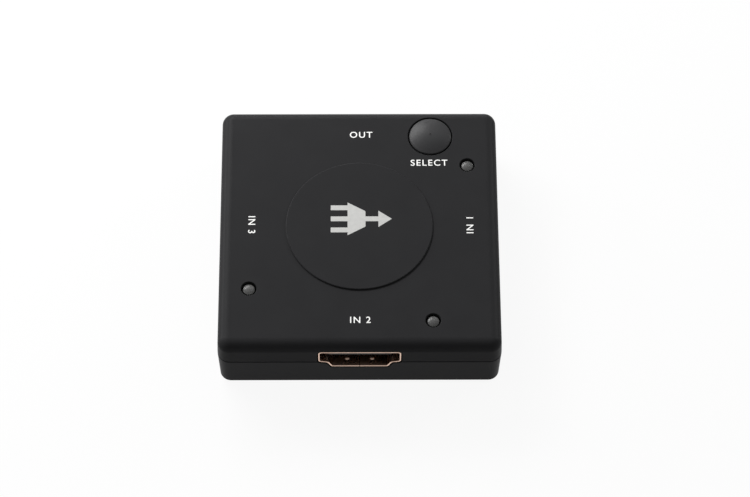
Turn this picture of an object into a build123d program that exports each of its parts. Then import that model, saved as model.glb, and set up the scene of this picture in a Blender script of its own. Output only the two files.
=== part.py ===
from build123d import *
import os
from math import hypot, sqrt

os.makedirs("parts", exist_ok=True)

# Small square box that passes one of three video inputs on to one output.
# Sizes are in millimetres. The origin lies on the surface that the box stands on, under the
# middle of the case. +Z is up, and -Y is the front, which holds the second input.

# Case: both shells narrow away from the seam, which runs round below the middle of the sockets
case_width = 50.0
case_depth = 49.5
corner_radius = 2.2
top_edge_radius = 2.0
bottom_edge_radius = 0.6
draft_angle = 2.0
wall = 1.5
seam_gap = 0.12
seam_edge_radius = 0.15
seam_drop = 0.65
lip_thickness = 0.7
lip_height = 1.0
lip_clearance = 0.1
hole_edge_radius = 0.12
overrun = 1.0
match_tolerance = 0.001

# Raised disc on the roof
disc_radius = 13.15
disc_height = 0.3
disc_edge_radius = 0.2

# Rubber feet, which cover the screws
foot_radius = 3.0
foot_thickness = 1.1
foot_recess = 0.3
foot_clearance = 0.1
foot_edge_radius = 0.3

# Two self-tapping screws on a diagonal, and the posts that they clamp the board between
screw_inset = 4.6
screw_radius = 1.0
screw_length = 8.0
screw_tip = 0.4
screw_head_radius = 1.8
screw_head_height = 1.3
screw_head_edge = 0.3
screw_head_clearance = 0.2
screw_head_depth = 1.5
screw_shank_clearance = 0.15
screw_board_clearance = 0.2
screw_thread_clearance = 0.025
screw_end_clearance = 0.4
cross_length = 1.9
cross_width = 0.45
cross_depth = 0.7
boss_radius = 2.3
standoff_radius = 2.6
ledge_overlap = 0.8

# Circuit board
board_thickness = 1.6
board_standoff = 2.65
board_clearance = 0.4
board_corner_radius = 1.2
lead_protrusion = 0.8
lead_hole_clearance = 0.1

# Sockets: sheet metal shells on the standard mouth, and the tongue with its contacts
mouth_width = 14.0
mouth_height = 4.55
mouth_side_height = 3.15
mouth_ledge_width = 11.2
mouth_ledge_drop = 0.3
mouth_floor_width = 9.8
mouth_top_radius = 0.55
mouth_side_radius = 0.45
mouth_ledge_radius = 0.6
mouth_floor_radius = 0.4
sheet = 0.3
sheet_edge_radius = 0.1
shell_length = 11.5
shell_slit = 0.1
mouth_recess = 0.15
mouth_clearance = 0.15
roof_clearance = 0.4
finger_spacing = 4.4
finger_width = 1.8
finger_length = 4.6
finger_setback = 0.75
finger_slot = 0.2
dimple_setback = 1.6
dimple_radius = 0.45
dimple_height = 0.2
leg_width = 1.2
leg_setback = 3.6
leg_spacing = 6.0
leg_top = 3.4
tongue_width = 11.3
tongue_thickness = 1.1
tongue_setback = 1.1
tongue_rise = 0.15
tongue_chamfer = 0.25
insulator_block_length = 4.0
insulator_clearance = 0.05
contact_pitch = 1.0
contact_width = 0.3
contact_thickness = 0.12
contact_setback = 0.5
contact_tail_gap = 0.1
contact_foot_length = 0.9
upper_contact_count = 10
lower_contact_count = 9

# Indicator lights
lamp_inset = 5.5
lamp_place_share = 0.52
lamp_radius = 1.025
lamp_dome_radius = 2.2
lamp_base_radius = 1.5
lamp_base_height = 1.8
lamp_base_gap = 0.3
lamp_recess = 0.15
lamp_hole_clearance = 0.35
lamp_lead_size = 0.4
lamp_lead_spacing = 1.27
lamp_lead_cover = 0.8
lamp_head_depth = 0.7
lamp_head_height = 0.7
lamp_cup_width = 0.7
lamp_post_width = 0.5

# Selection button
button_inset = 5.85
button_spacing = 0.8
button_radius = 3.8
button_clearance = 0.23
button_dome_height = 0.7
button_edge_radius = 0.25
button_wall = 1.0
button_pillar_radius = 1.4
button_travel = 0.25
tab_reach = 1.0
tab_width = 3.0
tab_thickness = 0.8
tab_gap = 0.05
gate_mark_radius = 0.2
gate_mark_depth = 0.08

# Push switch under the button
switch_width = 6.0
switch_height = 3.2
switch_cavity_radius = 2.2
switch_cavity_depth = 1.2
switch_plate_thickness = 0.3
switch_skirt_width = 3.0
switch_skirt_height = 1.5
plunger_radius = 1.7
plunger_clearance = 0.1
plunger_head_radius = 2.0
plunger_head_thickness = 0.65
plunger_gap = 0.05
plunger_proud = 0.8
snap_dome_radius = 2.1
snap_dome_flat_radius = 0.9
snap_dome_thickness = 0.1
snap_dome_height = button_travel + 2 * snap_dome_thickness
switch_leg_spacing = 4.5
switch_leg_width = 0.7
switch_leg_thickness = 0.3
switch_leg_height = 1.5

# Chips and small components on the board
selector_chip_width = 10.0
selector_chip_height = 1.0
selector_lead_count = 16
selector_lead_pitch = 0.5
selector_lead_width = 0.22
selector_lead_reach = 1.0
control_chip_length = 8.65
control_chip_width = 3.9
control_chip_height = 1.5
control_lead_count = 7
control_lead_pitch = 1.27
control_lead_width = 0.4
control_lead_reach = 1.05
chip_stand = 0.1
chip_edge_radius = 0.15
chip_mark_radius = 0.4
chip_mark_depth = 0.05
lead_foot = 0.5
lead_thickness = 0.15
regulator_length = 6.5
regulator_width = 3.5
regulator_height = 1.6
regulator_lead_width = 0.7
regulator_lead_pitch = 2.3
regulator_lead_reach = 1.75
regulator_lead_thickness = 0.25
regulator_tab_width = 3.0
crystal_length = 11.0
crystal_width = 4.6
crystal_height = 3.5
crystal_flange = 0.4
crystal_flange_thickness = 0.4
crystal_edge_radius = 0.4
resistor_length = 1.6
resistor_width = 0.8
resistor_height = 0.45
resistor_pitch = 2.2
resistor_count = 5
capacitor_length = 2.0
capacitor_width = 1.25
capacitor_height = 0.85
capacitor_pitch = 2.6
capacitor_count = 4
component_gap = 0.5
component_spacing = 1.5

# Levels, worked out upwards from the feet
case_base = foot_thickness - foot_recess
floor_top = case_base + wall
board_bottom = floor_top + board_standoff
board_top = board_bottom + board_thickness
shell_height = mouth_height + 2 * sheet
roof_under = board_top + shell_height + roof_clearance
roof_top = roof_under + wall
seam_height = board_top + shell_height / 2 - seam_drop
top_rim = seam_height + seam_gap / 2
bottom_rim = seam_height - seam_gap / 2
screw_seat = case_base + foot_recess + screw_head_depth

# Places shared by several pieces
board_width = case_width - 2 * (wall + board_clearance)
board_depth = case_depth - 2 * (wall + board_clearance)
shell_half_width = mouth_width / 2 + sheet
screw_spacing_x = case_width - 2 * screw_inset
screw_spacing_y = case_depth - 2 * screw_inset
screw_places = [
    (-screw_spacing_x / 2, screw_spacing_y / 2),
    (screw_spacing_x / 2, -screw_spacing_y / 2),
]
button_x = shell_half_width + button_spacing + tab_reach + button_radius
button_y = case_depth / 2 - button_inset
free_side_x = screw_spacing_x / 2 - boss_radius - shell_half_width
free_side_y = screw_spacing_y / 2 - boss_radius - shell_half_width
lamp_x = shell_half_width + lamp_place_share * free_side_x
lamp_y = shell_half_width + lamp_place_share * free_side_y
lamp_places = {
    "lamp_1": (case_width / 2 - lamp_inset, lamp_y),
    "lamp_2": (lamp_x, lamp_inset - case_depth / 2),
    "lamp_3": (lamp_inset - case_width / 2, -lamp_y),
}
socket_places = {
    "input_1": Location((case_width / 2 - mouth_recess, 0, board_top), (0, 0, 90)),
    "input_2": Location((0, mouth_recess - case_depth / 2, board_top), (0, 0, 0)),
    "input_3": Location((mouth_recess - case_width / 2, 0, board_top), (0, 0, -90)),
    "output": Location((0, case_depth / 2 - mouth_recess, board_top), (0, 0, 180)),
}
quadrant_x = (shell_half_width + board_width / 2) / 2
quadrant_y = (shell_half_width + board_depth / 2) / 2

# Where boxes and cylinders stand on their underside, or start at the mouth of a socket
STANDING = (Align.CENTER, Align.CENTER, Align.MIN)
INWARD = (Align.CENTER, Align.MIN, Align.MIN)


def case_outline(inset):
    """Plan outline of the case at the seam, moved inwards by inset."""
    RectangleRounded(case_width - 2 * inset, case_depth - 2 * inset, corner_radius - inset)


def socket_outline(growth, depth):
    """Face inside the sheet's centre line, moved outwards by growth, at a depth behind the mouth.

    A socket is drawn with X across, +Y inwards from its mouth, and Z up from the board.
    """
    half_width = (mouth_width + sheet) / 2
    floor = sheet / 2
    top = floor + mouth_height + sheet
    shoulder = top - mouth_side_height
    ledge = shoulder - mouth_ledge_drop
    right_side = [
        (half_width, top),
        (half_width, shoulder),
        (mouth_ledge_width / 2, ledge),
        (mouth_floor_width / 2, floor),
    ]
    left_side = [(-x, z) for x, z in reversed(right_side)]
    radii = [mouth_top_radius, mouth_side_radius, mouth_ledge_radius, mouth_floor_radius]
    with BuildSketch(Plane.XZ.offset(-depth)) as outline:
        with BuildLine():
            FilletPolyline(*right_side, *left_side, radius=radii + radii[::-1], close=True)
        make_face()
        offset(amount=growth)
    return outline.sketch


def circles_at(builder, radius, level):
    """Circular edges of one radius that lie level at a height."""
    return builder.edges().filter_by(
        lambda edge: edge.geom_type == GeomType.CIRCLE
        and abs(edge.radius - radius) < match_tolerance
        and abs(edge.bounding_box().min.Z - level) < match_tolerance
        and abs(edge.bounding_box().max.Z - level) < match_tolerance
    )


def along_rim(edge):
    """Whether an edge of the shell's end runs along the sheet, not across it."""
    return edge.length > sheet + match_tolerance


def gull_lead(exit_height, reach, width):
    """One bent chip lead, from the body's side at Y = 0 out to its foot on the board."""
    bend = reach - lead_foot
    with BuildPart() as lead:
        with BuildSketch(Plane.YZ):
            with BuildLine():
                Polyline(
                    (0, exit_height),
                    (0, exit_height + lead_thickness),
                    (bend + lead_thickness, exit_height + lead_thickness),
                    (bend + lead_thickness, lead_thickness),
                    (reach, lead_thickness),
                    (reach, 0),
                    (bend, 0),
                    (bend, exit_height),
                    close=True,
                )
            make_face()
        extrude(amount=width / 2, both=True)
    return lead.part


# Socket shell, bent from sheet, with its butt seam under the middle of the mouth
with BuildPart() as socket_shell:
    extrude(socket_outline(sheet / 2, 0), amount=-shell_length)
    extrude(socket_outline(-sheet / 2, 0), amount=-shell_length, mode=Mode.SUBTRACT)
    Box(shell_slit, shell_length, sheet, align=INWARD, mode=Mode.SUBTRACT)
    fillet(socket_shell.faces().sort_by(Axis.Y)[0].edges().filter_by(along_rim), sheet_edge_radius)
    # Spring fingers in the roof of the mouth, cut free at their front end
    with BuildSketch(Plane.XY.offset(shell_height - sheet)):
        with Locations((0, finger_setback + finger_length / 2)):
            with GridLocations(finger_spacing, 0, 2, 1):
                Rectangle(finger_width + 2 * finger_slot, finger_length)
        with Locations((0, finger_setback + finger_slot + finger_length / 2)):
            with GridLocations(finger_spacing, 0, 2, 1):
                Rectangle(finger_width, finger_length, mode=Mode.SUBTRACT)
    extrude(amount=sheet, mode=Mode.SUBTRACT)
    # Dimples in the floor and on the fingers press on the plug
    for dimple_level, turn in ((sheet, 0), (shell_height - sheet, 180)):
        with Locations(Location((0, dimple_setback, dimple_level), (turn, 0, 0))):
            with GridLocations(finger_spacing, 0, 2, 1):
                Cone(dimple_radius, dimple_radius / 2, dimple_height, align=STANDING)
    # Four legs carry on down from the sides through the board
    with Locations((0, leg_setback + leg_spacing / 2, -board_thickness - lead_protrusion)):
        with GridLocations(mouth_width + sheet, leg_spacing, 2, 2):
            Box(sheet, leg_width, leg_top + board_thickness + lead_protrusion, align=STANDING)

# Opening that the socket needs in the case's wall, and slots for its legs in the board
with BuildPart() as socket_opening:
    opening_length = wall + lip_clearance + overrun
    extrude(socket_outline(sheet / 2 + mouth_clearance, -overrun), amount=-overrun - opening_length)
with BuildPart() as leg_slots:
    with Locations((0, leg_setback + leg_spacing / 2, 0)):
        with GridLocations(mouth_width + sheet, leg_spacing, 2, 2):
            Box(
                sheet + 2 * lead_hole_clearance,
                leg_width + 2 * lead_hole_clearance,
                2 * board_thickness + overrun,
            )

# Contacts in two staggered rows, flush with the faces of the tongue
tongue_middle = shell_height / 2 + tongue_rise
tongue_top = tongue_middle + tongue_thickness / 2
tongue_under = tongue_middle - tongue_thickness / 2
contact_start = tongue_setback + contact_setback
contact_tail = shell_length + contact_tail_gap
with BuildPart() as socket_contacts:
    for contact_count, contact_top in (
        (upper_contact_count, tongue_top),
        (lower_contact_count, tongue_under + contact_thickness),
    ):
        with Locations((0, contact_start, contact_top - contact_thickness)):
            with GridLocations(contact_pitch, 0, contact_count, 1):
                Box(
                    contact_width,
                    contact_tail + contact_thickness - contact_start,
                    contact_thickness,
                    align=INWARD,
                )
        with Locations((0, contact_tail, 0)):
            with GridLocations(contact_pitch, 0, contact_count, 1):
                Box(contact_width, contact_thickness, contact_top, align=INWARD)
                Box(contact_width, contact_foot_length, contact_thickness, align=INWARD)

# Insulator: a block in the back of the shell and the tongue that the plug slides over
with BuildPart() as socket_insulator:
    block_start = shell_length - insulator_block_length
    with Locations((0, tongue_setback, tongue_under)):
        Box(tongue_width, block_start - tongue_setback, tongue_thickness, align=INWARD)
    chamfer(
        socket_insulator.faces().sort_by(Axis.Y)[0].edges().filter_by(Axis.X), tongue_chamfer
    )
    extrude(
        socket_outline(-sheet / 2 - insulator_clearance, block_start),
        amount=-insulator_block_length,
    )
    add(socket_contacts.part, mode=Mode.SUBTRACT)

for socket_name, socket_place in socket_places.items():
    for piece_name, piece in (
        ("shell", socket_shell),
        ("insulator", socket_insulator),
        ("contacts", socket_contacts),
    ):
        with BuildPart() as placed:
            with Locations(socket_place):
                add(piece.part)
        placed.part.label = f"{socket_name}_{piece_name}"
        export_step(placed.part, f"parts/{socket_name}_{piece_name}.step")

# Top cover
with BuildPart() as top_cover:
    with BuildSketch(Plane.XY.offset(top_rim)):
        case_outline(0)
    extrude(amount=roof_top - top_rim, taper=draft_angle)
    fillet(top_cover.faces().sort_by(Axis.Z)[-1].edges(), top_edge_radius)
    fillet(top_cover.faces().sort_by(Axis.Z)[0].edges(), seam_edge_radius)
    # Raised disc
    with BuildSketch(Plane.XY.offset(roof_top)):
        Circle(disc_radius)
    extrude(amount=disc_height)
    fillet(top_cover.faces().sort_by(Axis.Z)[-1].edges(), disc_edge_radius)
    # Inside
    with BuildSketch(Plane.XY.offset(top_rim)):
        case_outline(wall)
    extrude(amount=roof_under - top_rim, taper=draft_angle, mode=Mode.SUBTRACT)
    # Rabbet that takes the lower cover's lip
    with BuildSketch(Plane.XY.offset(top_rim)):
        case_outline(wall - lip_thickness - lip_clearance)
    extrude(amount=lip_height + lip_clearance, mode=Mode.SUBTRACT)
    # Posts for the screws
    with BuildSketch(Plane.XY.offset(board_top)):
        with Locations(*screw_places):
            Circle(boss_radius)
    extrude(amount=roof_under - board_top)
    with BuildSketch(Plane.XY.offset(board_top)):
        with Locations(*screw_places):
            Circle(screw_radius + screw_thread_clearance)
    extrude(
        amount=screw_seat + screw_length + screw_end_clearance - board_top, mode=Mode.SUBTRACT
    )
    # Holes for the button and the lights
    with Locations((button_x, button_y, roof_under)):
        Cylinder(
            button_radius + button_clearance,
            wall + overrun,
            align=STANDING,
            mode=Mode.SUBTRACT,
        )
    with Locations([(x, y, roof_under) for x, y in lamp_places.values()]):
        Cylinder(
            lamp_radius + lamp_hole_clearance,
            wall + overrun,
            align=STANDING,
            mode=Mode.SUBTRACT,
        )
    button_rim = circles_at(top_cover, button_radius + button_clearance, roof_top)
    lamp_rims = circles_at(top_cover, lamp_radius + lamp_hole_clearance, roof_top)
    fillet(button_rim + lamp_rims, hole_edge_radius)
    with Locations(*socket_places.values()):
        add(socket_opening.part, mode=Mode.SUBTRACT)
top_cover.part.label = "top_cover"
export_step(top_cover.part, "parts/top_cover.step")

# Bottom cover
with BuildPart() as bottom_cover:
    with BuildSketch(Plane.XY.offset(bottom_rim)):
        case_outline(0)
    extrude(amount=case_base - bottom_rim, taper=draft_angle)
    fillet(bottom_cover.faces().sort_by(Axis.Z)[0].edges(), bottom_edge_radius)
    fillet(bottom_cover.faces().sort_by(Axis.Z)[-1].edges(), seam_edge_radius)
    # Inside, with a ledge all round that the board's edge lies on
    with BuildSketch(Plane.XY.offset(bottom_rim)):
        case_outline(wall)
    extrude(amount=board_bottom - bottom_rim, taper=draft_angle, mode=Mode.SUBTRACT)
    with BuildSketch(Plane.XY.offset(board_bottom)):
        RectangleRounded(
            board_width - 2 * ledge_overlap, board_depth - 2 * ledge_overlap, board_corner_radius
        )
    extrude(amount=floor_top - board_bottom, taper=draft_angle, mode=Mode.SUBTRACT)
    # Lip that reaches up inside the top cover
    with BuildSketch(Plane.XY.offset(bottom_rim)):
        case_outline(wall - lip_thickness)
        RectangleRounded(
            case_width - 2 * wall, case_depth - 2 * wall, corner_radius - wall, mode=Mode.SUBTRACT
        )
    extrude(amount=seam_gap + lip_height)
    # Posts under the board, with the screws sunk from below, and recesses for the feet
    with BuildSketch(Plane.XY.offset(floor_top)):
        with Locations(*screw_places):
            Circle(standoff_radius)
    extrude(amount=board_standoff)
    with Locations([Location((x, y, case_base), (180, 0, 0)) for x, y in screw_places]):
        CounterBoreHole(
            screw_radius + screw_shank_clearance,
            screw_head_radius + screw_head_clearance,
            foot_recess + screw_head_depth,
            board_bottom - case_base,
        )
    with BuildSketch(Plane.XY.offset(case_base)):
        with GridLocations(screw_spacing_x, screw_spacing_y, 2, 2):
            Circle(foot_radius + foot_clearance)
    extrude(amount=foot_recess, mode=Mode.SUBTRACT)
    with Locations(*socket_places.values()):
        add(socket_opening.part, mode=Mode.SUBTRACT)
bottom_cover.part.label = "bottom_cover"
export_step(bottom_cover.part, "parts/bottom_cover.step")

# Feet
foot_places = {
    "foot_front_left": (-screw_spacing_x / 2, -screw_spacing_y / 2),
    "foot_front_right": (screw_spacing_x / 2, -screw_spacing_y / 2),
    "foot_back_left": (-screw_spacing_x / 2, screw_spacing_y / 2),
    "foot_back_right": (screw_spacing_x / 2, screw_spacing_y / 2),
}
for foot_name, foot_place in foot_places.items():
    with BuildPart() as foot:
        with Locations(foot_place):
            Cylinder(foot_radius, foot_thickness, align=STANDING)
        fillet(foot.faces().sort_by(Axis.Z)[0].edges(), foot_edge_radius)
    foot.part.label = foot_name
    export_step(foot.part, f"parts/{foot_name}.step")

# Screws, with their heads down
with BuildPart() as screw:
    with Locations((0, 0, screw_seat)):
        Cylinder(screw_radius, screw_length, align=STANDING)
    chamfer(screw.faces().sort_by(Axis.Z)[-1].edges(), screw_tip)
    with Locations((0, 0, screw_seat - screw_head_height)):
        Cylinder(screw_head_radius, screw_head_height, align=STANDING)
    fillet(screw.faces().sort_by(Axis.Z)[0].edges(), screw_head_edge)
    with BuildSketch(Plane.XY.offset(screw_seat - screw_head_height)):
        Rectangle(cross_length, cross_width)
        Rectangle(cross_width, cross_length)
    extrude(amount=cross_depth, mode=Mode.SUBTRACT)
with BuildPart() as case_screws:
    with Locations(*screw_places):
        add(screw.part)
case_screws.part.label = "case_screws"
export_step(case_screws.part, "parts/case_screws.step")

# Leads of the lights, with wide heads: a small one, and one that holds the light's chip
lamp_apex = roof_top - lamp_recess
lamp_base_top = roof_under - lamp_base_gap
lamp_base = lamp_base_top - lamp_base_height
lamp_lead_top = lamp_apex - lamp_lead_cover
lead_end = board_bottom - lead_protrusion
lead_outside = (lamp_lead_spacing + lamp_lead_size) / 2
with BuildPart() as lamp_leads:
    with Locations((0, 0, lead_end)):
        with GridLocations(lamp_lead_spacing, 0, 2, 1):
            Box(lamp_lead_size, lamp_lead_size, lamp_lead_top - lead_end, align=STANDING)
    with Locations((-lead_outside, 0, lamp_lead_top)):
        Box(
            lamp_cup_width,
            lamp_head_depth,
            lamp_head_height,
            align=(Align.MIN, Align.CENTER, Align.MAX),
        )
    with Locations((lead_outside, 0, lamp_lead_top)):
        Box(
            lamp_post_width,
            lamp_head_depth,
            lamp_head_height,
            align=(Align.MAX, Align.CENTER, Align.MAX),
        )

# Clear lens: a wide base under the roof and a tower with a domed end in the roof's hole
dome_rise = lamp_dome_radius - sqrt(lamp_dome_radius**2 - lamp_radius**2)
with BuildPart() as lamp_lens:
    with BuildSketch(Plane.XZ):
        with BuildLine():
            Polyline(
                (0, lamp_apex),
                (0, lamp_base),
                (lamp_base_radius, lamp_base),
                (lamp_base_radius, lamp_base_top),
                (lamp_radius, lamp_base_top),
                (lamp_radius, lamp_apex - dome_rise),
            )
            RadiusArc((lamp_radius, lamp_apex - dome_rise), (0, lamp_apex), -lamp_dome_radius)
        make_face()
    revolve(axis=Axis.Z)
    add(lamp_leads.part, mode=Mode.SUBTRACT)

for lamp_name, lamp_place in lamp_places.items():
    for piece_name, piece in (("lens", lamp_lens), ("leads", lamp_leads)):
        with BuildPart() as placed:
            with Locations(lamp_place):
                add(piece.part)
        placed.part.label = f"{lamp_name}_{piece_name}"
        export_step(placed.part, f"parts/{lamp_name}_{piece_name}.step")

# Push switch
switch_top = board_top + switch_height
cavity_floor = switch_top - switch_cavity_depth
plunger_top = switch_top + switch_plate_thickness + plunger_proud
with BuildPart() as switch_base:
    with Locations((button_x, button_y, board_top)):
        Box(switch_width, switch_width, switch_height, align=STANDING)
    with Locations((button_x, button_y, cavity_floor)):
        Cylinder(switch_cavity_radius, switch_cavity_depth, align=STANDING, mode=Mode.SUBTRACT)
switch_base.part.label = "switch_base"
export_step(switch_base.part, "parts/switch_base.step")

with BuildPart() as switch_frame:
    with Locations((button_x, button_y, switch_top)):
        Box(
            switch_width,
            switch_width + 2 * switch_plate_thickness,
            switch_plate_thickness,
            align=STANDING,
        )
        Cylinder(
            plunger_radius + plunger_clearance,
            switch_plate_thickness,
            align=STANDING,
            mode=Mode.SUBTRACT,
        )
    with Locations((button_x, button_y, switch_top - switch_skirt_height)):
        with GridLocations(0, switch_width + switch_plate_thickness, 1, 2):
            Box(switch_skirt_width, switch_plate_thickness, switch_skirt_height, align=STANDING)
switch_frame.part.label = "switch_frame"
export_step(switch_frame.part, "parts/switch_frame.step")

with BuildPart() as switch_plunger:
    head_top = switch_top - plunger_gap
    with Locations((button_x, button_y, head_top - plunger_head_thickness)):
        Cylinder(plunger_head_radius, plunger_head_thickness, align=STANDING)
    with Locations((button_x, button_y, head_top)):
        Cylinder(plunger_radius, plunger_top - head_top, align=STANDING)
switch_plunger.part.label = "switch_plunger"
export_step(switch_plunger.part, "parts/switch_plunger.step")

# Snap dome: a thin pressed disc with a sloping skirt that stands on the floor of the cavity
dome_slope = (snap_dome_radius - snap_dome_flat_radius) / snap_dome_height
with BuildPart() as switch_dome:
    with BuildSketch(Plane.XZ):
        with BuildLine():
            Polyline(
                (0, snap_dome_height),
                (snap_dome_flat_radius, snap_dome_height),
                (snap_dome_radius, 0),
                (snap_dome_radius - snap_dome_thickness * dome_slope, 0),
                (snap_dome_flat_radius, snap_dome_height - snap_dome_thickness),
                (0, snap_dome_height - snap_dome_thickness),
                close=True,
            )
        make_face()
    revolve(axis=Axis.Z)
with BuildPart() as placed_dome:
    with Locations((button_x, button_y, cavity_floor)):
        add(switch_dome.part)
placed_dome.part.label = "switch_dome"
export_step(placed_dome.part, "parts/switch_dome.step")

with BuildPart() as switch_legs:
    with Locations((button_x, button_y, lead_end)):
        with GridLocations(switch_width + switch_leg_thickness, switch_leg_spacing, 2, 2):
            Box(
                switch_leg_thickness,
                switch_leg_width,
                board_top + switch_leg_height - lead_end,
                align=STANDING,
            )
switch_legs.part.label = "switch_legs"
export_step(switch_legs.part, "parts/switch_legs.step")

# Button cap: domed top, hollow inside, with a pillar that stands on the switch's plunger
tab_base = roof_under - tab_gap - tab_thickness
dome_radius = (button_radius**2 + button_dome_height**2) / (2 * button_dome_height)
with BuildPart() as button_cap:
    with BuildSketch(Plane.XZ):
        with BuildLine():
            Polyline(
                (0, roof_top + button_dome_height),
                (0, tab_base),
                (button_radius, tab_base),
                (button_radius, roof_top),
            )
            RadiusArc((button_radius, roof_top), (0, roof_top + button_dome_height), -dome_radius)
        make_face()
    revolve(axis=Axis.Z)
    fillet(circles_at(button_cap, button_radius, roof_top), button_edge_radius)
    with Locations((0, 0, roof_top + button_dome_height - gate_mark_depth)):
        Cylinder(gate_mark_radius, gate_mark_depth, align=STANDING, mode=Mode.SUBTRACT)
    with Locations((0, 0, tab_base)):
        Cylinder(
            button_radius - button_wall,
            roof_top - button_wall - tab_base,
            align=STANDING,
            mode=Mode.SUBTRACT,
        )
    with Locations((0, 0, plunger_top)):
        Cylinder(button_pillar_radius, roof_top - button_wall - plunger_top, align=STANDING)
    # Two tabs under the roof keep the button in its hole
    with BuildSketch(Plane.XY.offset(tab_base)):
        Rectangle(2 * (button_radius + tab_reach), tab_width)
        Circle(button_radius - button_wall, mode=Mode.SUBTRACT)
    extrude(amount=tab_thickness)
with BuildPart() as selection_button:
    with Locations((button_x, button_y)):
        add(button_cap.part)
selection_button.part.label = "selection_button"
export_step(selection_button.part, "parts/selection_button.step")

# Circuit board, clamped at two corners, with a hole or a slot for everything that goes through
lead_half_diagonal = hypot(lamp_lead_size, lamp_lead_size) / 2
with BuildPart() as circuit_board:
    with BuildSketch(Plane.XY.offset(board_bottom)):
        RectangleRounded(board_width, board_depth, board_corner_radius)
        with Locations(*screw_places):
            Circle(screw_radius + screw_board_clearance, mode=Mode.SUBTRACT)
        with Locations((button_x, button_y)):
            with GridLocations(switch_width + switch_leg_thickness, switch_leg_spacing, 2, 2):
                Rectangle(
                    switch_leg_thickness + 2 * lead_hole_clearance,
                    switch_leg_width + 2 * lead_hole_clearance,
                    mode=Mode.SUBTRACT,
                )
        with Locations(*lamp_places.values()):
            with GridLocations(lamp_lead_spacing, 0, 2, 1):
                Circle(lead_half_diagonal + lead_hole_clearance, mode=Mode.SUBTRACT)
    extrude(amount=board_thickness)
    with Locations(*socket_places.values()):
        add(leg_slots.part, mode=Mode.SUBTRACT)
circuit_board.part.label = "circuit_board"
export_step(circuit_board.part, "parts/circuit_board.step")

# Selector chip in the middle of the board, with leads on all four sides
with BuildPart() as selector_chip:
    with Locations((0, 0, board_top + chip_stand)):
        Box(selector_chip_width, selector_chip_width, selector_chip_height, align=STANDING)
    fillet(selector_chip.edges().filter_by(Axis.Z), chip_edge_radius)
    mark_place = selector_chip_width / 2 - 2 * chip_mark_radius
    with Locations((-mark_place, mark_place, board_top + chip_stand + selector_chip_height)):
        Cylinder(chip_mark_radius, 2 * chip_mark_depth, mode=Mode.SUBTRACT)
selector_chip.part.label = "selector_chip"
export_step(selector_chip.part, "parts/selector_chip.step")

selector_lead = gull_lead(
    chip_stand + selector_chip_height / 2, selector_lead_reach, selector_lead_width
)
with BuildPart() as selector_chip_leads:
    with Locations((0, 0, board_top)):
        with PolarLocations(0, 4):
            with Locations((0, selector_chip_width / 2)):
                with GridLocations(selector_lead_pitch, 0, selector_lead_count, 1):
                    add(selector_lead)
selector_chip_leads.part.label = "selector_chip_leads"
export_step(selector_chip_leads.part, "parts/selector_chip_leads.step")

# Control chip, with leads on its two long sides
control_x = -(shell_half_width + component_spacing + control_chip_length / 2)
control_y = shell_half_width + component_spacing + control_chip_width / 2 + control_lead_reach
control_place = (control_x, control_y, board_top)
with BuildPart() as control_chip:
    with Locations(control_place):
        with Locations((0, 0, chip_stand)):
            Box(control_chip_length, control_chip_width, control_chip_height, align=STANDING)
    fillet(control_chip.edges().filter_by(Axis.Z), chip_edge_radius)
control_chip.part.label = "control_chip"
export_step(control_chip.part, "parts/control_chip.step")

control_lead = gull_lead(
    chip_stand + control_chip_height / 2, control_lead_reach, control_lead_width
)
with BuildPart() as control_chip_leads:
    with Locations(control_place):
        with PolarLocations(0, 2):
            with Locations((0, control_chip_width / 2)):
                with GridLocations(control_lead_pitch, 0, control_lead_count, 1):
                    add(control_lead)
control_chip_leads.part.label = "control_chip_leads"
export_step(control_chip_leads.part, "parts/control_chip_leads.step")

# Voltage regulator: a block with three leads on one side and a broad tab on the other
regulator_x = -(shell_half_width + component_spacing + regulator_length / 2)
with BuildPart() as voltage_regulator:
    with Locations((regulator_x, -quadrant_y, board_top)):
        with Locations((0, 0, chip_stand)):
            Box(regulator_length, regulator_width, regulator_height, align=STANDING)
        with Locations((0, -regulator_width / 2 - regulator_lead_reach / 2)):
            with GridLocations(regulator_lead_pitch, 0, 3, 1):
                Box(
                    regulator_lead_width,
                    regulator_lead_reach,
                    chip_stand + regulator_lead_thickness,
                    align=STANDING,
                )
        with Locations((0, regulator_width / 2 + regulator_lead_reach / 2)):
            Box(
                regulator_tab_width,
                regulator_lead_reach,
                chip_stand + regulator_lead_thickness,
                align=STANDING,
            )
voltage_regulator.part.label = "voltage_regulator"
export_step(voltage_regulator.part, "parts/voltage_regulator.step")

# Crystal: a can with round ends on a thin flange
crystal_y = -(shell_half_width + component_spacing + crystal_width / 2)
with BuildPart() as crystal:
    with BuildSketch(Plane.XY.offset(board_top)):
        with Locations((quadrant_x, crystal_y)):
            SlotOverall(crystal_length, crystal_width)
    extrude(amount=crystal_flange_thickness)
    with BuildSketch(Plane.XY.offset(board_top)):
        with Locations((quadrant_x, crystal_y)):
            SlotOverall(crystal_length - 2 * crystal_flange, crystal_width - 2 * crystal_flange)
    extrude(amount=crystal_height)
    fillet(crystal.faces().sort_by(Axis.Z)[-1].edges(), crystal_edge_radius)
crystal.part.label = "crystal"
export_step(crystal.part, "parts/crystal.step")

# Rows of resistors and capacitors close round the selector chip
chip_reach = selector_chip_width / 2 + selector_lead_reach + component_gap
with BuildPart() as resistors:
    with Locations((0, 0, board_top)):
        with GridLocations(0, 2 * chip_reach + resistor_width, 1, 2):
            with GridLocations(resistor_pitch, 0, resistor_count, 1):
                Box(resistor_length, resistor_width, resistor_height, align=STANDING)
resistors.part.label = "resistors"
export_step(resistors.part, "parts/resistors.step")

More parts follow.
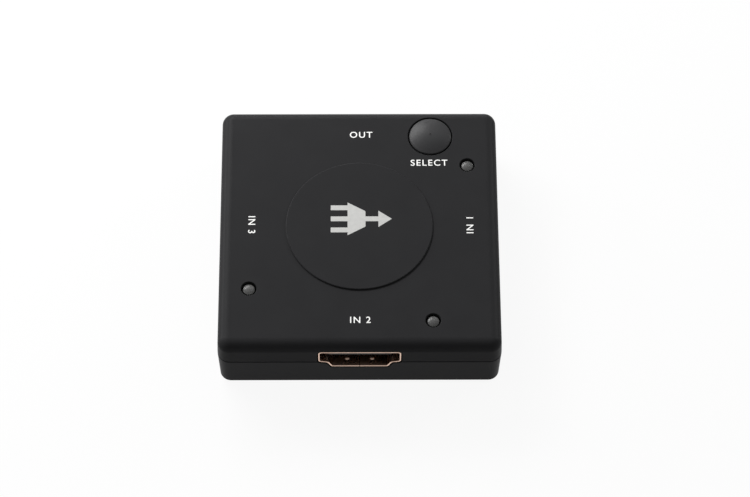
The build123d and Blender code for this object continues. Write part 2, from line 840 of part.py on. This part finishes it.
with BuildPart() as capacitors:
    with Locations((0, 0, board_top)):
        with GridLocations(2 * chip_reach + capacitor_width, 0, 2, 1):
            with GridLocations(0, capacitor_pitch, 1, capacitor_count):
                Box(capacitor_width, capacitor_length, capacitor_height, align=STANDING)
capacitors.part.label = "capacitors"
export_step(capacitors.part, "parts/capacitors.step")
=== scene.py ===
from math import pi, radians

import bpy
import numpy as np
from mathutils import Matrix, Vector


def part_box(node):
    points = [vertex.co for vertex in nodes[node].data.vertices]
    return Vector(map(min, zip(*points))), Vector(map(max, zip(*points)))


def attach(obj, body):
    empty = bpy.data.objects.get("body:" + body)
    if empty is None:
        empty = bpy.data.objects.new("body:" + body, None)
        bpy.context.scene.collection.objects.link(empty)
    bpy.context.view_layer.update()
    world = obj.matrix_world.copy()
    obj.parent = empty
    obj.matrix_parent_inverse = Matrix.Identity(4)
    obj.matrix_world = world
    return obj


# Small square box that passes one of three video inputs on to one output.
# Everything is in metres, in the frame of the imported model: +Z up, -Y towards the front.
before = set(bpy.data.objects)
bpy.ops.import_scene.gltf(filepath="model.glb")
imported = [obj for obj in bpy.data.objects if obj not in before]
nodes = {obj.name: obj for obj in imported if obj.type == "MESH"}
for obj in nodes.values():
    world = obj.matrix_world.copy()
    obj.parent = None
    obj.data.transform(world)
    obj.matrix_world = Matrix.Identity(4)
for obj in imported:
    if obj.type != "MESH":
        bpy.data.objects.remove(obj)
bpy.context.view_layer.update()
mm = 0.001
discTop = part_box("top_cover")[1].z
discHeight = 0.3 * mm  # over the roof
roofTop = discTop - discHeight
print("frame loaded:", len(nodes), "nodes")

# The camera of the photograph, found from the outlines of the case
camera = {
    "lens": 144.608,  # in millimetres, as the sensor is
    "sensorWidth": 36,
    "elevation": radians(59.62),
    "distance": 548.08 * mm,
    "yaw": radians(0.787),
    "roll": radians(0.565),
    "shiftRight": 2.832 * mm,
    "shiftUp": 2.481 * mm,
    "aimHeight": 0.8 * mm,  # the case's underside stands this far over the floor
    "nearest": 10 * mm,  # nothing nearer to the lens is drawn
}


def setUpCamera():
    data = bpy.data.cameras.new("photoCamera")
    data.lens = camera["lens"]
    data.sensor_width = camera["sensorWidth"]
    data.clip_start = camera["nearest"]
    item = bpy.data.objects.new("photoCamera", data)
    bpy.context.scene.collection.objects.link(item)
    turn = Matrix.Rotation(-camera["yaw"], 3, "Z")
    turn = turn @ Matrix.Rotation(pi / 2 - camera["elevation"], 3, "X")
    place = turn @ Vector((camera["shiftRight"], camera["shiftUp"], camera["distance"]))
    place.z += camera["aimHeight"]
    turn = turn @ Matrix.Rotation(camera["roll"], 3, "Z")
    item.matrix_world = Matrix.Translation(place) @ turn.to_4x4()
    bpy.context.scene.camera = item


setUpCamera()
print("camera set")


def colour(text, alpha=1.0):
    # sRGB hex to linear: a straight toe below 0.04045 and a power of 2.4 above it
    parts = np.array([int(text[i:i + 2], 16) for i in (1, 3, 5)]) / 255
    linear = np.where(parts <= 0.04045, parts / 12.92, ((parts + 0.055) / 1.055) ** 2.4)
    return (*linear.tolist(), alpha)


def addNode(tree, kind, settings=None, **inputs):
    # A node with its settings, and its inputs as values or links: named with _ for each space,
    # or with _ and a number
    node = tree.nodes.new(kind)
    for name, value in (settings or {}).items():
        setattr(node, name, value)
    for name, value in inputs.items():
        target = node.inputs[int(name[1:]) if name[1:].isdigit() else name.replace("_", " ")]
        if isinstance(value, bpy.types.NodeSocket):
            tree.links.new(value, target)
        else:
            target.default_value = value
    return node


def startMaterial(name):
    # A material with its shader, and the place on the object that its patterns read
    material = bpy.data.materials.new(name)
    material.use_nodes = True
    tree = material.node_tree
    shader = tree.nodes["Principled BSDF"]
    where = addNode(tree, "ShaderNodeTexCoord").outputs["Object"]
    return material, tree, shader, where


patches = {
    "colourDetail": 3.0,
    "surfaceDetail": 2.0,
    "middle": (0.3, 0.7),  # most of a noise's values lie between these
    "dullPatch": 3,  # patches of one roughness are this many times as large as those of one shade
}


def varied(tree, where, grain, low, high, stretch=(1, 1, 1)):
    # Colour that wanders between two shades in patches of one size
    place = addNode(tree, "ShaderNodeMapping", Vector=where, Scale=stretch).outputs[0]
    noise = addNode(tree, "ShaderNodeTexNoise", Vector=place, Scale=1 / grain,
                    Detail=patches["colourDetail"])
    mix = addNode(tree, "ShaderNodeMix", {"data_type": "RGBA"}, _0=noise.outputs["Fac"],
                  _6=colour(low), _7=colour(high))
    return mix.outputs[2]


def roughened(tree, where, shader, grain, low, high, stretch=(1, 1, 1)):
    # Roughness that wanders between two values in patches of one size
    place = addNode(tree, "ShaderNodeMapping", Vector=where, Scale=stretch).outputs[0]
    noise = addNode(tree, "ShaderNodeTexNoise", Vector=place, Scale=1 / grain,
                    Detail=patches["surfaceDetail"])
    lowest, highest = patches["middle"]
    spread = addNode(tree, "ShaderNodeMapRange", Value=noise.outputs["Fac"],
                     From_Min=lowest, From_Max=highest, To_Min=low, To_Max=high)
    tree.links.new(spread.outputs[0], shader.inputs["Roughness"])


def grained(tree, where, shader, grain, height, stretch=(1, 1, 1)):
    # Fine relief of grains of one size and height
    place = addNode(tree, "ShaderNodeMapping", Vector=where, Scale=stretch).outputs[0]
    noise = addNode(tree, "ShaderNodeTexNoise", Vector=place, Scale=1 / grain,
                    Detail=patches["surfaceDetail"])
    bump = addNode(tree, "ShaderNodeBump", Strength=1.0, Distance=height,
                   Height=noise.outputs["Fac"])
    tree.links.new(bump.outputs[0], shader.inputs["Normal"])


finishes = {}


def finish(name, low, high, grain, roughness, relief, stretch=(1, 1, 1), **constants):
    # A surface from its two shades and the size of their patches, its roughness from and to,
    # and its relief: size and height
    material, tree, shader, where = startMaterial(name)
    tree.links.new(varied(tree, where, grain, low, high, stretch=stretch), shader.inputs[0])
    roughened(tree, where, shader, patches["dullPatch"] * grain, *roughness, stretch=stretch)
    grained(tree, where, shader, *relief, stretch=stretch)
    for socket, value in constants.items():
        shader.inputs[socket.replace("_", " ")].default_value = value
    finishes[name] = material


# ABS with a soft-touch lacquer: nearly black, and hardly a reflection but near its edges.
# The lacquer's grain is about 0.05 mm, drawn at 0.16 mm so that it shows.
finish("softTouchLacquer", "#252526", "#29292a", 6 * mm, (0.34, 0.38), (0.16 * mm, 0.002 * mm),
       Specular_IOR_Level=0.02)
# Bare ABS from a fine-eroded mould: satin, shinier than the lacquer
finish("satinMoulding", "#2c2c2d", "#313132", 3 * mm, (0.38, 0.43), (0.12 * mm, 0.0015 * mm),
       Specular_IOR_Level=0.12)
# Synthetic rubber: dull and a little grey
finish("footRubber", "#1a1a1a", "#222221", 0.9 * mm, (0.78, 0.88), (0.2 * mm, 0.01 * mm),
       Specular_IOR_Level=0.3)
# Sheet brass with thin rose gold plating: warm, its shade wandering at random, and its paler
# patches widened into painted highlights
finish("roseGoldPlating", "#c09c86", "#f6dccb", 1.2 * mm, (0.22, 0.30), (0.3 * mm, 0.001 * mm),
       stretch=(1, 1, 3), Metallic=1.0)
# Hard gold plating on the contacts: yellower and smoother
finish("contactGold", "#d9ab5e", "#e8c07a", 0.5 * mm, (0.2, 0.28), (0.1 * mm, 0.0005 * mm),
       Metallic=1.0)
# Glass-filled liquid crystal polymer: black with faint flow marks
finish("socketPolymer", "#0e0d0c", "#171412", 0.8 * mm, (0.42, 0.52), (0.15 * mm, 0.002 * mm),
       stretch=(1, 0.3, 1), Specular_IOR_Level=0.5)
# Nylon of the push switch: black, with a soft shine
finish("switchNylon", "#161616", "#1d1d1d", 1.5 * mm, (0.4, 0.5), (0.15 * mm, 0.002 * mm),
       Specular_IOR_Level=0.5)
# Nickel-plated spring steel: grey, rolled
finish("nickelPlate", "#a5a39e", "#b7b5b0", 1.0 * mm, (0.24, 0.34), (0.2 * mm, 0.001 * mm),
       stretch=(3, 1, 1), Metallic=1.0)
# Tinned copper alloy: whiter and duller than nickel
finish("tinnedLead", "#b4b3ae", "#cbcac6", 0.4 * mm, (0.3, 0.42), (0.1 * mm, 0.001 * mm),
       Metallic=1.0)
# Black zinc plating on the screws
finish("blackZinc", "#2c2c30", "#3b3b40", 0.6 * mm, (0.32, 0.44), (0.1 * mm, 0.001 * mm),
       Metallic=1.0)
# Transfer-moulded chip resin: dark grey with glass grit
finish("chipResin", "#1b1b1d", "#26262a", 0.3 * mm, (0.5, 0.62), (0.08 * mm, 0.002 * mm),
       Specular_IOR_Level=0.45)
# Dark glaze over the resistors' ceramic
finish("resistorGlaze", "#141416", "#242428", 0.7 * mm, (0.2, 0.32), (0.15 * mm, 0.001 * mm),
       Specular_IOR_Level=0.5)
# Fired ceramic of the capacitors: tan and matt
finish("firedCeramic", "#8f6f4e", "#a5835e", 0.5 * mm, (0.5, 0.6), (0.1 * mm, 0.002 * mm),
       Specular_IOR_Level=0.4)
# Screen-printing ink: off-white, matt, and a little thin in patches
finish("whiteInk", "#d9d9d7", "#ececea", 0.7 * mm, (0.5, 0.6), (0.08 * mm, 0.001 * mm),
       Specular_IOR_Level=0.3)
# The disc's sign is printed in a silvery ink, which is duller
finish("silverInk", "#a3a3a1", "#b3b3b1", 0.7 * mm, (0.5, 0.6), (0.08 * mm, 0.001 * mm),
       Specular_IOR_Level=0.3)
# Cast epoxy of the lights: clear but milky with fine filler, and frosted by its mould, so its
# reflections are weaker than those of plain epoxy
finish("clearEpoxy", "#9c9c9c", "#aaaaa8", 1 * mm, (0.20, 0.30), (0.5 * mm, 0.001 * mm),
       Transmission_Weight=0.8, Specular_IOR_Level=0.07, IOR=1.25)


def boardLaminate():
    # Green solder resist over glass cloth: the copper under it shows as paler green tracks
    board = {
        "trackSpacing": 2.2 * mm, "trackShare": 0.16, "trackColour": "#1d6a3b",
        "weave": 0.5 * mm, "weaveHeight": 0.003 * mm, "resist": ("#0c3d20", "#114a28"),
        "dullPatch": 4 * mm, "roughness": (0.25, 0.4),
    }
    material, tree, shader, where = startMaterial("boardLaminate")
    cells = addNode(
        tree, "ShaderNodeTexVoronoi", {"distance": "MANHATTAN", "feature": "DISTANCE_TO_EDGE"},
        Vector=where, Scale=1 / board["trackSpacing"],
    )
    edge = addNode(tree, "ShaderNodeMath", {"operation": "LESS_THAN"},
                   _0=cells.outputs["Distance"], _1=board["trackShare"])
    resist = varied(tree, where, board["weave"], *board["resist"])
    mix = addNode(tree, "ShaderNodeMix", {"data_type": "RGBA"}, _0=edge.outputs[0],
                  _6=resist, _7=colour(board["trackColour"]))
    tree.links.new(mix.outputs[2], shader.inputs[0])
    roughened(tree, where, shader, board["dullPatch"], *board["roughness"])
    grained(tree, where, shader, board["weave"], board["weaveHeight"])
    finishes["boardLaminate"] = material


boardLaminate()
print("finishes made:", len(finishes))

# The finish of every solid, by the whole or the end of its name; all the feet are rubber
nodeFinishes = {
    "top_cover": "softTouchLacquer", "bottom_cover": "softTouchLacquer",
    "selection_button": "satinMoulding", "case_screws": "blackZinc",
    "circuit_board": "boardLaminate", "switch_base": "switchNylon",
    "switch_plunger": "switchNylon", "switch_frame": "nickelPlate", "switch_dome": "nickelPlate",
    "switch_legs": "tinnedLead", "selector_chip": "chipResin", "control_chip": "chipResin",
    "voltage_regulator": "chipResin", "crystal": "nickelPlate", "resistors": "resistorGlaze",
    "capacitors": "firedCeramic", "_shell": "roseGoldPlating", "_insulator": "socketPolymer",
    "_contacts": "contactGold", "_lens": "clearEpoxy", "_leads": "tinnedLead",
}
for name, item in nodes.items():
    ending = "_" + name.split("_")[-1]
    chosen = "footRubber" if name.startswith("foot_") else nodeFinishes.get(name)
    chosen = chosen or nodeFinishes[ending]
    item.data.materials.clear()
    item.data.materials.append(finishes[chosen])
print("solids finished")

inkDepth = 0.012 * mm

# Printed legends, made of letters
legends = {
    "capHeight": 1.3 * mm,
    "capShare": 0.729,  # the height of a capital letter over the size of the type
    "letterSpacing": 1.2,
    "fattened": 0.012,  # the letters' outlines are moved out by this share of the capitals' height
    # What each says, its middle in millimetres, and how far it is turned in degrees
    "places": {
        "legend_out": ("OUT", 0.35, 19.3, 0),
        "legend_in_1": ("IN 1", 19.67, 0.2, 90),
        "legend_in_2": ("IN 2", 0.1, -19.1, 0),
        "legend_in_3": ("IN 3", -19.13, 0.3, -90),
        "legend_select": ("SELECT", 12.6, 13.3, 0),
    },
}


def placePiece(name, mesh, finishName):
    item = bpy.data.objects.new(name, mesh)
    bpy.context.scene.collection.objects.link(item)
    mesh.materials.clear()
    mesh.materials.append(finishes[finishName])
    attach(item, "case")
    return item


def printLegend(name, words, x, y, turn):
    data = bpy.data.curves.new(name + "Type", "FONT")
    data.body = words
    data.size = legends["capHeight"] / legends["capShare"]
    data.align_x = "CENTER"
    data.space_character = legends["letterSpacing"]
    data.offset = legends["fattened"] * legends["capHeight"]
    data.extrude = inkDepth / 2
    draft = bpy.data.objects.new(name + "Type", data)
    mesh = bpy.data.meshes.new_from_object(draft)
    bpy.data.objects.remove(draft)
    toMiddle = Matrix.Translation((0, -legends["capHeight"] / 2, inkDepth / 2))
    onRoof = Matrix.Translation((x * mm, y * mm, roofTop))
    mesh.transform(onRoof @ Matrix.Rotation(radians(turn), 4, "Z") @ toMiddle)
    placePiece(name, mesh, "whiteInk")


for name, row in legends["places"].items():
    printLegend(name, *row)
print("legends printed:", len(legends["places"]))

# Printed sign on the disc: three lines into a wedge, and one arrow out of it
sign = {
    "middle": (0.1 * mm, 1.3 * mm),
    "rowSpacing": 2.3 * mm,
    "start": -5.2 * mm,
    "wedge": (-2.2 * mm, 1.0 * mm),  # where the wedge starts and ends
    "wedgeHalfWidths": (3.4 * mm, 1.6 * mm),
    "end": 5.7 * mm,
    "line": 0.5 * mm,  # half of a line's width
    "arrowLength": 2.4 * mm,
    "arrowHalfWidth": 1.7 * mm,
    "tip": 0.005 * mm,  # half of the width left at the arrow's tip
    "steps": 9,  # points along a strip
    "lift": 0.001 * mm,  # each strip is this much higher than the last, so no faces coincide
}


def carriedStrip(path, halfWidths):
    # A flat rectangle carried along a level path: each point moves by plus and minus the half
    # width along the path's normal, at the ink's underside and at its top
    ahead = np.gradient(path, axis=0)
    ahead /= np.linalg.norm(ahead, axis=1)[:, None]
    side = np.stack([-ahead[:, 1], ahead[:, 0]], 1) * halfWidths[:, None]
    ring = np.stack([path - side, path - side, path + side, path + side], 1)
    level = np.broadcast_to([0, inkDepth, inkDepth, 0], ring.shape[:2])[..., None]
    points = np.concatenate([ring, level], 2)
    i, k = np.meshgrid(np.arange(len(path) - 1), np.arange(4), indexing="ij")
    m = (k + 1) % 4
    faces = np.stack([4 * i + k, 4 * i + 4 + k, 4 * i + 4 + m, 4 * i + m], -1).reshape(-1, 4)
    ends = [[0, 1, 2, 3], np.array([3, 2, 1, 0]) + 4 * (len(path) - 1)]
    return points.reshape(-1, 3), np.vstack([faces, ends])


def taperedStrip(start, end, row, startHalfWidth, endHalfWidth):
    # A straight strip at the height row: the half width w changes evenly, w = w0 + (w1 - w0) s
    along = np.linspace(0, 1, sign["steps"])
    path = np.stack([start + (end - start) * along, np.full(len(along), row)], 1)
    return carriedStrip(path, startHalfWidth + (endHalfWidth - startHalfWidth) * along)


def printSign():
    near, far = sign["wedge"]
    line, neck = sign["line"], sign["end"] - sign["arrowLength"]
    strips = [
        taperedStrip(near, far, 0, *sign["wedgeHalfWidths"]),
        taperedStrip(far - line, neck + line, 0, line, line),
        taperedStrip(neck, sign["end"], 0, sign["arrowHalfWidth"], sign["tip"]),
    ]
    for row in (sign["rowSpacing"], 0, -sign["rowSpacing"]):
        strips.append(taperedStrip(sign["start"], near + line, row, line, line))
    lifts = np.arange(len(strips)) * sign["lift"]
    starts = np.cumsum([0] + [len(points) for points, _ in strips])
    points = np.concatenate([points + [0, 0, lift] for (points, _), lift in zip(strips, lifts)])
    faces = np.concatenate([faces + start for (_, faces), start in zip(strips, starts)])
    points += [*sign["middle"], discTop]
    mesh = bpy.data.meshes.new("sign_inputs")
    mesh.from_pydata(points.tolist(), [], faces.tolist())
    placePiece("sign_inputs", mesh, "silverInk")


printSign()
print("sign printed")

# Floor and light. The lamps' strengths were fitted to the greys of the photograph.
floor = {
    "size": 3.0,
    "colour": ("#d4d4d4", "#d8d8d8"),
    "mottling": 40 * mm,
    "plainWhite": 0.92,  # the share of plain white in what the camera sees
}
room = {"colour": "#ffffff", "strength": 0.27}
lamps = {
    # place, size across and along, watts
    "backSoftbox": ((-0.097, 0.267, 0.222), (0.14, 0.10), 0.85),
    "leftSoftbox": ((-0.195, 0.195, 0.231), (0.14, 0.10), 0.8),
    "sideSoftbox": ((-0.290, 0.030, 0.340), (0.17, 0.13), 0.17),
    "rightSoftbox": ((0.739, 0.427, 0.416), (0.32, 0.20), 1.93),
    "topRightLamp": ((0.122, 0.262, 0.345), (0.17, 0.13), 0.13),
    "lowLeftSoftbox": ((-0.800, 0.460, 0.230), (0.32, 0.30), 3.83),
    "lowRightSoftbox": ((0.810, 0.468, 0.165), (0.32, 0.20), 1.2),
    "lowBackSoftbox": ((0.0, 0.929, 0.198), (0.32, 0.20), 0.87),
}


def layFloor():
    half = floor["size"] / 2
    corners = [(-half, -half, 0), (half, -half, 0), (half, half, 0), (-half, half, 0)]
    mesh = bpy.data.meshes.new("floor")
    mesh.from_pydata(corners, [], [(0, 1, 2, 3)])
    item = bpy.data.objects.new("floor", mesh)
    bpy.context.scene.collection.objects.link(item)
    material, tree, shader, where = startMaterial("mattPaper")
    shade = varied(tree, where, floor["mottling"], *floor["colour"])
    tree.links.new(shade, shader.inputs[0])
    shader.inputs["Roughness"].default_value = 1.0
    shader.inputs["Specular IOR Level"].default_value = 0.0
    # Seen by the camera, in a reflection or through glass, the paper is mostly plain white
    rays = addNode(tree, "ShaderNodeLightPath").outputs
    seen = addNode(tree, "ShaderNodeMath", _0=rays["Is Camera Ray"], _1=rays["Is Glossy Ray"])
    seen = addNode(tree, "ShaderNodeMath", _0=seen.outputs[0], _1=rays["Is Transmission Ray"])
    share = addNode(tree, "ShaderNodeMath", {"operation": "MULTIPLY", "use_clamp": True},
                    _0=seen.outputs[0], _1=floor["plainWhite"])
    white = addNode(tree, "ShaderNodeEmission", Color=colour("#ffffff"), Strength=1.0)
    mix = addNode(tree, "ShaderNodeMixShader", Fac=share.outputs[0], _1=shader.outputs[0],
                  _2=white.outputs[0])
    tree.links.new(mix.outputs[0], tree.nodes["Material Output"].inputs["Surface"])
    mesh.materials.append(material)


def hangLamp(name, place, size, watts):
    data = bpy.data.lights.new(name, "AREA")
    data.shape = "RECTANGLE"
    data.size, data.size_y = size
    data.energy = watts
    item = bpy.data.objects.new(name, data)
    bpy.context.scene.collection.objects.link(item)
    item.location = place
    item.rotation_euler = (-Vector(place)).to_track_quat("-Z", "Y").to_euler()


def lightWorld():
    # The walls of the studio give the same soft light from every side
    world = bpy.data.worlds.new("studio")
    world.use_nodes = True
    background = world.node_tree.nodes["Background"]
    background.inputs["Color"].default_value = colour(room["colour"])
    background.inputs["Strength"].default_value = room["strength"]
    bpy.context.scene.world = world


layFloor()
lightWorld()
for name, row in lamps.items():
    hangLamp(name, *row)
bpy.context.scene.view_settings.view_transform = "Standard"
print("floor laid and lamps hung:", len(lamps))
